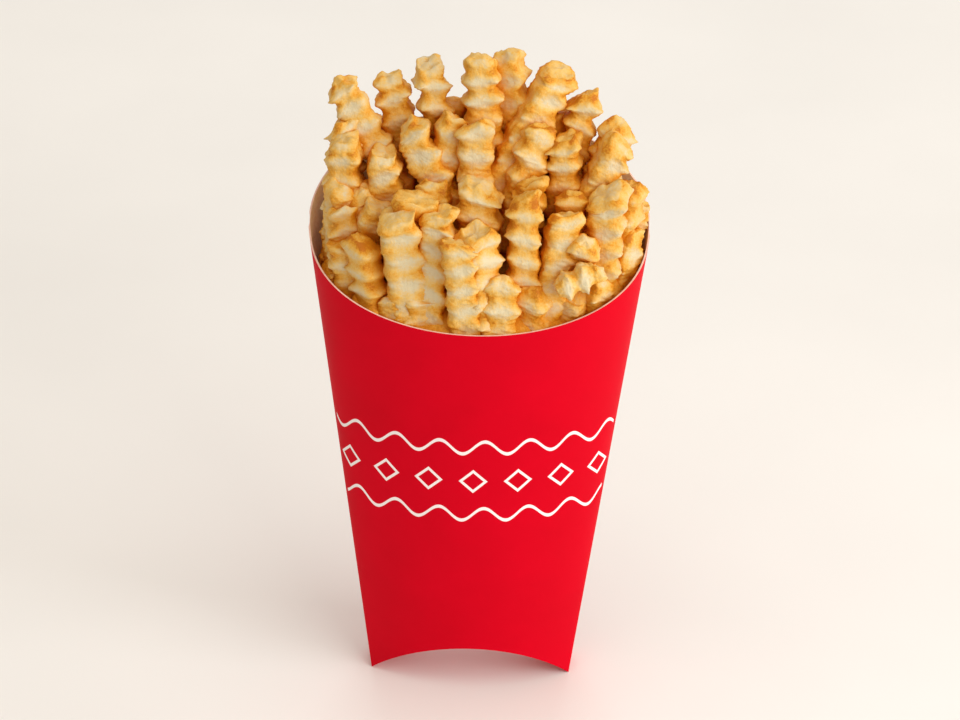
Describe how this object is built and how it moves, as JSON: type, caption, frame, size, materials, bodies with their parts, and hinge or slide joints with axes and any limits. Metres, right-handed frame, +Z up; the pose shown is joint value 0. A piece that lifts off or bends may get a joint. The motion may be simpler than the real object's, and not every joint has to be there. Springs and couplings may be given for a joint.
{
  "type": "french fries in carton",
  "caption": "Crinkle-cut french fries standing upright in a red scoop-shaped paperboard carton with a low front rim and a tall back.",
  "frame": {"origin": "on the floor, midway between the carton's two feet, under the middle of the mouth", "axes": "+Z up, +X across the wide mouth to the right as seen from the front, -Y towards the low front rim, +Y towards the tall back panel"},
  "size_m": [0.0966, 0.0562, 0.1958],
  "materials": {
    "board": "red printed coated paperboard outside, bare off-white board inside and on the cut edge",
    "fried_potato": "fried potato crust, pale gold on the crinkles' crests, brown at tips, edges and in the valleys"
  },
  "bodies": {
    "root": {"carton": "board", "fries": "fried_potato"}
  },
  "joints": []
}
